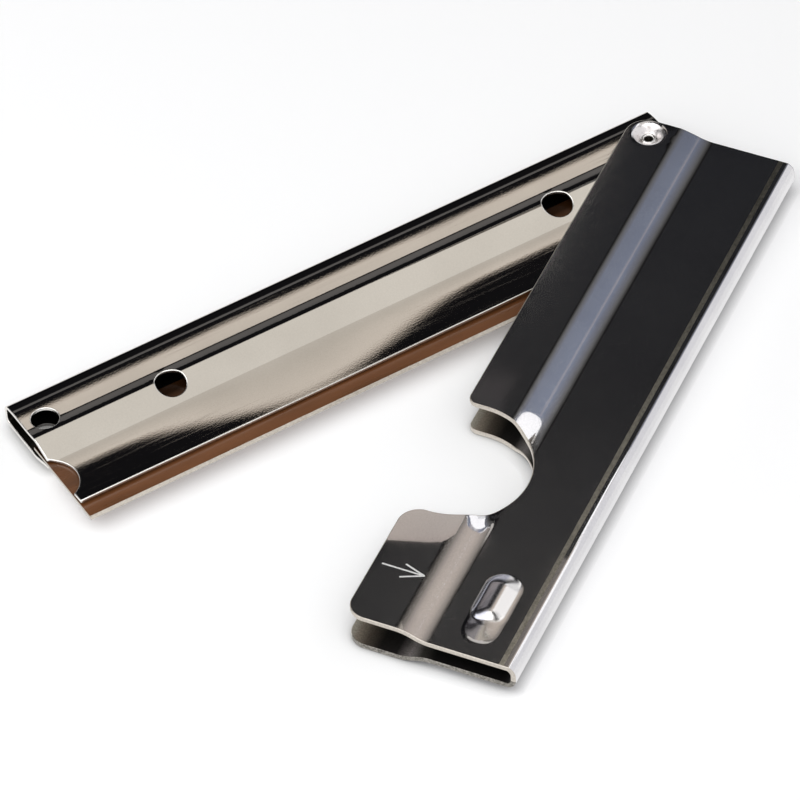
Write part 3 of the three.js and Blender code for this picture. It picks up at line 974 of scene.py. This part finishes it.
def polished_steel(name, dark, light, rough, mark_scale, grain, speckle, angle=0.0, stretch=1.0):
    """Bright sheet steel: cloudy tint, and fine specks or drawing marks that scatter a little light."""
    nodes = new_material(name)
    place = nodes.coordinates(angle)
    cloud = nodes.noise(place, CLOUD_SCALE, detail=3)
    fine = nodes.noise(place, GRAIN_SCALE, detail=2)
    marks = nodes.noise(nodes.coordinates(angle, (1, stretch, 1)), mark_scale, detail=2)
    colour = nodes.product(nodes.tint(cloud, dark, light, CLOUD_SPREAD), nodes.speckle(fine, speckle))
    return nodes.feed(Metallic=1.0, Base_Color=colour, Roughness=nodes.span(marks, *rough, MARK_SPREAD),
                      Normal=nodes.bump(fine, grain))


def plain_steel(name, dark, light, rough, scale=EDGE_SCALE, detail=3, metal=1.0):
    """Cut, ground, satin or scratched steel with a fine grain."""
    nodes = new_material(name)
    grain = nodes.noise(nodes.coordinates(), scale, detail)
    return nodes.feed(Metallic=metal, Base_Color=nodes.tint(grain, dark, light),
                      Roughness=nodes.span(grain, *rough))


def shaded_steel(name, axis, reach, tones, speckle, rough, metal=1.0):
    """Dull steel whose tone changes along one axis, with a fine grain; on the bump and the sheath's inner
    face these tones paint reflections, light and shade.
    """
    nodes = new_material(name)
    tone = nodes.ramp(nodes.along(axis, *reach), *tones)
    grain = nodes.noise(nodes.coordinates(), GRAIN_SCALE, detail=3)
    return nodes.feed(Metallic=metal, Base_Color=nodes.product(tone, nodes.speckle(grain, speckle)),
                      Roughness=nodes.span(grain, *rough))


def lacquer(name):
    """Brown lacquer over steel, a little uneven, with painted shade that makes it dark and dull towards the
    blade's back inside the holder.
    """
    nodes = new_material(name)
    cloud = nodes.noise(nodes.coordinates(-OPEN_ANGLE, LACQUER_STRETCH), LACQUER_SCALE, detail=4)
    # Painted shade: colour, gloss and coat fall towards the blade's back
    unshaded = nodes.along("X", *BLADE_SHADE_X, -OPEN_ANGLE)
    tone = nodes.add("ShaderNodeVectorMath", operation="SCALE", Scale=nodes.span(unshaded, *LACQUER_SHADE, WHOLE),
                     Vector=nodes.tint(cloud, LACQUER_DARK, LACQUER_LIGHT))
    return nodes.feed(Base_Color=tone.outputs["Vector"], Roughness=nodes.span(cloud, *LACQUER_ROUGHNESS),
                      Specular_IOR_Level=nodes.span(unshaded, *LACQUER_GLOSS, WHOLE),
                      Coat_Weight=nodes.span(unshaded, *LACQUER_COAT, WHOLE))


# Pieces

cut_edge = plain_steel("cut_edge", (0.5, 0.46, 0.41), (0.68, 0.63, 0.56), rough=(0.28, 0.42))
bright_edge = plain_steel("bright_edge", (0.76, 0.74, 0.7), (0.9, 0.88, 0.84), rough=(0.16, 0.26))
# Painted shade: near black cut edges where they lie in shade
painted_shade_edge = plain_steel("painted_shade_edge", (0.05, 0.048, 0.045), (0.11, 0.105, 0.1), rough=(0.3, 0.45))
# Painted shade: a darker copy of the cut edge, for the back sheet's far end
back_painted_shade_edge = plain_steel("back_painted_shade_edge", (0.12, 0.112, 0.1), (0.42, 0.4, 0.36), rough=(0.35, 0.5))
# Painted shade: the holder's inner faces are near black
holder_inner_shade = plain_steel("holder_inner_shade", (0.02, 0.018, 0.015), (0.05, 0.045, 0.038), rough=(0.3, 0.45))
ground_metal = plain_steel("ground_edge", (0.46, 0.42, 0.37), (0.6, 0.56, 0.5), rough=(0.35, 0.5), scale=3000)
dish_metal = plain_steel("dimple_satin", (0.74, 0.71, 0.7), (0.84, 0.81, 0.8), rough=(0.26, 0.36),
                         scale=SATIN_SCALE)
rivet_metal = plain_steel("rivet_polish", (0.74, 0.73, 0.72), (0.84, 0.83, 0.81), rough=(0.2, 0.3),
                          scale=SATIN_SCALE)
# Painted shade: the inside of the rivet's tube is dark
bore_shade_metal = plain_steel("bore_painted_shade", (0.08, 0.07, 0.06), (0.16, 0.14, 0.12), rough=(0.35, 0.5),
                         scale=SATIN_SCALE)
mark_metal = plain_steel("engraved_mark", (0.5, 0.5, 0.49), (0.72, 0.72, 0.7), rough=(0.55, 0.75), scale=6000,
                         detail=2, metal=0.0)
# Painted reflection across the bump: a bluish grey band over its left half, light steel at its left foot and
# on its right side
bump_painted_reflection = ((0, (0.76, 0.74, 0.73)), (0.12, (0.5, 0.5, 0.57)), (0.45, (0.5, 0.5, 0.57)),
              (0.55, (0.8, 0.78, 0.77)), (1, (0.8, 0.78, 0.77)))
bump_reflection_metal = shaded_steel("bump_satin_painted_reflection", "X", (BUMP_X - BUMP_WIDTH / 2, BUMP_X + BUMP_WIDTH / 2), bump_painted_reflection,
                          speckle=0.92, rough=(0.15, 0.22))
# Painted light and shade across the sheath's inner faces: light at the open edge, near black further in, with
# one light band
inner_painted_light = ((0, (0.62, 0.59, 0.5)), (0.1, (0.36, 0.31, 0.25)), (0.22, (0.12, 0.1, 0.08)),
               (0.38, (0.02, 0.018, 0.016)), (0.57, (0.03, 0.027, 0.026)), (0.72, (0.34, 0.31, 0.3)),
               (0.85, (0.07, 0.065, 0.055)), (1, (0.016, 0.015, 0.014)))
inner_light_and_shade_metal = shaded_steel("inner_steel_painted_light", "X", (SHEATH_EDGE_X, INNER_PAINTED_LIGHT_X), inner_painted_light, speckle=0.65,
                           rough=(0.28, 0.4), metal=0.55)
fold_tones = ((0, (0.42, 0.39, 0.33)), (0.35, (0.3, 0.28, 0.235)), (1, (0.12, 0.112, 0.095)))
fold_metal = shaded_steel("fold_line", "Y", (SHEATH_FAR_Y, 0), fold_tones, speckle=0.55, rough=(0.4, 0.6))
sheath_metal = polished_steel("sheath_polish", (0.7, 0.69, 0.71), (0.77, 0.76, 0.77), rough=(0.025, 0.2),
                              mark_scale=9000, grain=5e-7, speckle=0.94)
holder_metal = polished_steel("holder_polish", (0.79, 0.76, 0.72), (0.84, 0.81, 0.77), rough=(0.02, 0.07),
                              mark_scale=3000, grain=9e-7, speckle=0.97, angle=-OPEN_ANGLE, stretch=40)
blade_lacquer = lacquer("blade_lacquer")

sheath_looks = [sheath_metal, cut_edge, inner_light_and_shade_metal, painted_shade_edge, mark_metal, fold_metal, dish_metal,
                bump_reflection_metal, back_painted_shade_edge]
holder_looks = [holder_metal, bright_edge, holder_inner_shade, painted_shade_edge]

for piece, node, body, slot in (
    (make_sheath(sheath_looks), "sheath", "handle", "sheath_steel"),
    (make_rivet([rivet_metal, bore_shade_metal]), "pivot_rivet", "handle", "rivet_steel"),
    (make_holder(holder_looks), "blade_holder", "swing", "holder_steel"),
    (make_blade([blade_lacquer, ground_metal]), "blade", "cutter", "blade_lacquer"),
):
    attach(piece, body)
    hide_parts(node)


# Camera

def make_camera():
    data = bpy.data.cameras.new("camera")
    data.sensor_width = CAMERA_SENSOR
    data.lens = CAMERA_LENS
    data.clip_start = CAMERA_CLIP
    turn = (Matrix.Rotation(CAMERA_AZIMUTH, 4, "Z")
            @ Matrix.Rotation(math.pi / 2 - CAMERA_ELEVATION, 4, "X")
            @ Matrix.Rotation(CAMERA_ROLL, 4, "Z"))
    camera = add_object("camera", data)
    camera.matrix_world = Matrix.Translation(CAMERA_EYE) @ turn
    bpy.context.scene.camera = camera


# Studio

NEAR_CEILING = 0.02
TAIL_CEILING = 0.03
SPOT_CEILING = 0.04
LOW_CEILING = 0.06
CEILING = 0.12
HIGH_CEILING = 0.3
SHADE_CEILING = 0.5
TOP_CEILING = 0.6
SKY_CEILING = 0.9
FLOOR_DROP = 0.00002
FLOOR_HALF = 3.0
FLOOR_COLOUR = (0.88, 0.88, 0.88, 1)
FLOOR_ROUGHNESS = 0.8
FLOOR_GLOW = 0.17
# Reach and samples of the painted shade round the part on the floor
PAINTED_SHADE_REACH = 0.002
PAINTED_SHADE_SAMPLES = 8
KEY_HEIGHT = 0.62
KEY_X = (-0.75, 0.45)
KEY_Y = (-0.72, 0.04)
KEY_RADIANCE = 2.2


def seen_in(place, x, y, z, tilt_x=0.0, tilt_y=0.0, height=CEILING):
    """Where the camera sees a level plane overhead in a mirror at a point of a piece, tilted in degrees."""
    point = place @ Vector((x, y, z))
    normal = Vector((math.tan(math.radians(tilt_x)), math.tan(math.radians(tilt_y)), 1))
    normal = (place.to_3x3().normalized() @ normal).normalized()
    view = (point - CAMERA_EYE).normalized()
    mirrored = view - 2 * view.dot(normal) * normal
    return point + mirrored * ((height - point.z) / mirrored.z)


def glow_material(name):
    nodes = new_material(name)
    nodes.tree.nodes.remove(nodes.shader)
    colour = nodes.add("ShaderNodeVertexColor", layer_name="glow")
    return nodes.show(nodes.emission(colour.outputs["Color"]))


glow = glow_material("card_glow")


def card(name, rows):
    """A glowing card of rows: both ends, the colour, and the share of the colour at the second end."""
    vertices, colours = [], []
    for start, end, colour, end_share in rows:
        vertices += [start, end]
        colours += [[*colour, 1], [*(value * end_share for value in colour), 1]]
    faces = [(k, k + 1, k + 3, k + 2) for k in range(0, len(vertices) - 2, 2)]
    mesh = bpy.data.meshes.new(name)
    mesh.from_pydata(vertices, [], faces)
    layer = mesh.color_attributes.new("glow", "FLOAT_COLOR", "POINT")
    layer.data.foreach_set("color", np.array(colours, np.float32).ravel())
    mesh.materials.append(glow)
    made = add_object(name, mesh)
    made.visible_camera = False
    made.visible_diffuse = False
    made.visible_shadow = False


def make_key():
    """One large softbox above the camera."""
    wide, deep = KEY_X[1] - KEY_X[0], KEY_Y[1] - KEY_Y[0]
    data = bpy.data.lights.new("softbox", "AREA")
    data.shape = "RECTANGLE"
    data.size = wide
    data.size_y = deep
    data.energy = KEY_RADIANCE * math.pi * wide * deep
    softbox = add_object("softbox", data)
    softbox.location = (sum(KEY_X) / 2, sum(KEY_Y) / 2, KEY_HEIGHT)


def make_floor():
    """A pale floor that looks white to the camera, with the part's soft shadow and painted shade close round
    it, and to polished metal.
    """
    nodes = new_material("white_floor")
    # Painted shade: ambient occlusion darkens the floor's colour and its glow close round the part
    closed = nodes.add("ShaderNodeAmbientOcclusion", samples=PAINTED_SHADE_SAMPLES, Color=FLOOR_COLOUR,
                       Distance=PAINTED_SHADE_REACH).outputs["Color"]
    nodes.feed(Base_Color=closed, Roughness=FLOOR_ROUGHNESS, Specular_IOR_Level=0.0)
    path = nodes.add("ShaderNodeLightPath").outputs
    glow_to_camera = nodes.mix(path["Is Camera Ray"], nodes.emission(strength=0.0),
                               nodes.emission(closed, FLOOR_GLOW))
    lit = nodes.add("ShaderNodeAddShader", nodes.shader.outputs["BSDF"], glow_to_camera).outputs["Shader"]
    mirrored = nodes.combine("MAXIMUM", path["Is Glossy Ray"], path["Is Transmission Ray"])
    material = nodes.show(nodes.mix(mirrored, lit, nodes.emission()))
    mesh = bpy.data.meshes.new("floor")
    h, z = FLOOR_HALF, -FLOOR_DROP
    mesh.from_pydata([(-h, -h, z), (h, -h, z), (h, h, z), (-h, h, z)], [], [(0, 1, 2, 3)])
    mesh.materials.append(material)
    floor = add_object("floor", mesh)


UP = (0.0, 0.0, 1.0)
BAND_UP = (-0.3, 0.0, 0.954)
BAND_EDGE = (0.56, 0.61)
GAP_TOWARDS = (-0.58, 0.81, 0.0)
GAP_EDGE = (0.64, 0.75)
LOW_EDGE = (0.18, 0.22)
WALL_GLOW = (0.9, 0.9, 0.92)
ROOM_GLOW = (0.006, 0.006, 0.007)


def make_world():
    """A dark room with pale walls, higher on the right, and a gap in them at the far left."""
    world = bpy.data.worlds.new("studio")
    bpy.context.scene.world = world
    nodes = Nodes(world)
    place = nodes.add("ShaderNodeTexCoord").outputs["Generated"]

    def short_of(direction, edge):
        """Full where a ray leans less towards a direction than an edge says."""
        lean = nodes.add("ShaderNodeVectorMath", place, direction, operation="DOT_PRODUCT")
        return nodes.span(lean.outputs["Value"], 1, 0, edge)

    walls = nodes.combine("MULTIPLY", short_of(BAND_UP, BAND_EDGE), short_of(GAP_TOWARDS, GAP_EDGE))
    walls = nodes.combine("MAXIMUM", walls, short_of(UP, LOW_EDGE))
    colour = nodes.ramp(walls, (0, ROOM_GLOW), (1, WALL_GLOW))
    nodes.put(nodes.tree.nodes["Background"].inputs["Color"], colour)


STRIP_GAP = 0.2
STRIP_FAR_Y = -115
BLACK = (0, 0, 0)
SLOPE_TONE = (0.73, 0.70, 0.65)
BUMP_GREY = (0.23, 0.225, 0.26)
BUMP_TAN = (0.5, 0.46, 0.4)
SPOT_WHITE = (1.4, 1.4, 1.4)


def beside_sheath(x):
    """Where a line along the holder at X meets a line just beside the sheath's open edge."""
    return (SHEATH_EDGE_X - STRIP_GAP - x * math.cos(OPEN_ANGLE)) / math.sin(OPEN_ANGLE)


def tilted_card(name, x, z, ends, height, tones, end_share=1.0, place=HANDLE_PLACE):
    """A card seen along a line of a piece, between two Ys, at each of some tilts across it."""
    card(name, [(*(seen_in(place, x, y, z, tilt, 0, height) for y in ends), colour, end_share)
                for tilt, colour in tones])


def turned_card(name, x, y, turns, height, tones):
    """A card seen at one point of the sheath, between two tilts along it, at each of some tilts across it."""
    card(name, [(*(seen_in(HANDLE_PLACE, x, y, FLARE_HALF, tilt, turn, height) for turn in turns),
                 colour, 1) for tilt, colour in tones])


def level_card(name, z, ends, height, tones):
    """A card seen in a level part of the sheath, between two Xs, at each of some Ys."""
    card(name, [(*(seen_in(HANDLE_PLACE, x, y, z, height=height) for x in ends), colour, 1)
                for y, colour in tones])


def make_cards():
    """Cards overhead, each laid where the camera sees it in the part's bright sheets."""
    strip = ((-3.6, BLACK), (-2.8, (0.42, 0.37, 0.32)), (-1.7, (0.68, 0.62, 0.56)),
             (4, (0.56, 0.52, 0.47)), (10, (0.64, 0.61, 0.57)), (14.5, (0.68, 0.65, 0.6)))
    card("holder_strip", [(seen_in(SWING_PLACE, x, STRIP_FAR_Y, HOLDER_HALF),
                           seen_in(SWING_PLACE, x, beside_sheath(x), HOLDER_HALF), colour, 1)
                          for x, colour in strip])
    tilted_card("beyond_strip", place=SWING_PLACE, x=1.5, z=HOLDER_HALF, ends=(-130, 20), height=CEILING,
                tones=((-3.1, (0.1, 0.098, 0.098)), (-4.2, (0.125, 0.12, 0.12)), (-5.4, (0.1, 0.098, 0.098))))
    tilted_card("slope_light", place=SWING_PLACE, x=4, z=HOLDER_HALF, ends=(-110, -6), height=TOP_CEILING,
                tones=((4.7, SLOPE_TONE), (12, SLOPE_TONE), (25, SLOPE_TONE)))
    tilted_card("ramp_blue", x=6, z=FLARE_HALF, ends=(12, -64), height=HIGH_CEILING,
                tones=((1.8, BLACK), (4, (0.05, 0.049, 0.047)), (7, (0.125, 0.124, 0.125)),
                       (12, (0.165, 0.175, 0.21)), (16.5, (0.19, 0.215, 0.28)), (19, (0.36, 0.34, 0.36)),
                       (21, (0.36, 0.34, 0.36))), end_share=1.4)
    tilted_card("tab_shade", x=6, z=FLARE_HALF, ends=(-73, -98), height=SHADE_CEILING,
                tones=((1.5, BLACK), (4, (0.1, 0.09, 0.08)), (7.5, (0.26, 0.235, 0.21))))
    tilted_card("ramp_tan", x=6, z=FLARE_HALF, ends=(-72, -103), height=LOW_CEILING,
                tones=((6.5, (0.22, 0.2, 0.18)), (8.5, (0.32, 0.29, 0.26)), (14.5, (0.52, 0.46, 0.41)),
                       (19, (0.6, 0.53, 0.47)), (23, (0.6, 0.53, 0.47))))
    tab = ((((-5, -81.8), (8.3, -77.5)), (0.55, 0.48, 0.43)), (((-5, -70), (8.3, -73.5)), (0.58, 0.53, 0.48)))
    card("tab_tan", [(*(seen_in(HANDLE_PLACE, x, y, FLARE_HALF, height=NEAR_CEILING) for x, y in line),
                      colour, 1) for line, colour in tab])
    tilted_card("bump_grey", x=13, z=NARROW_HALF, ends=(-74, -98), height=SKY_CEILING,
                tones=((-9, BUMP_GREY), (-19, BUMP_GREY)))
    turned_card("bump_tail", x=13, y=-91.5, turns=(-3.2, -11), height=TAIL_CEILING,
                tones=((-8, BLACK), (-4, BUMP_TAN), (4, BUMP_TAN), (8, BLACK)))
    level_card("flat_haze", NARROW_HALF, ends=(-4, 19.5), height=TOP_CEILING,
               tones=((3, (0.022, 0.023, 0.026)), (-50, (0.027, 0.027, 0.028)), (-75, (0.045, 0.044, 0.043)),
                      (-96, (0.045, 0.044, 0.043))))
    level_card("lobe_haze", FLARE_HALF, ends=(-5, 1.5), height=HIGH_CEILING,
               tones=((-45, (0.026, 0.026, 0.027)), (-50, (0.065, 0.06, 0.06)), (-57, (0.075, 0.07, 0.07))))
    tilted_card("bump_white", x=14.5, z=NARROW_HALF, ends=(-77, -95),
                height=HIGH_CEILING, tones=((24, SPOT_WHITE), (35, SPOT_WHITE)))
    turned_card("lobe_spot", x=6, y=-55.5, turns=(-0.95, -11), height=SKY_CEILING,
                tones=((4, SPOT_WHITE), (25, SPOT_WHITE)))
    turned_card("tab_spot", x=6.2, y=-73.3, turns=(2, 7), height=SPOT_CEILING,
                tones=((12.5, SPOT_WHITE), (26, SPOT_WHITE)))


make_camera()
make_floor()
make_world()
make_key()
make_cards()

bpy.context.scene.view_settings.view_transform = "Standard"
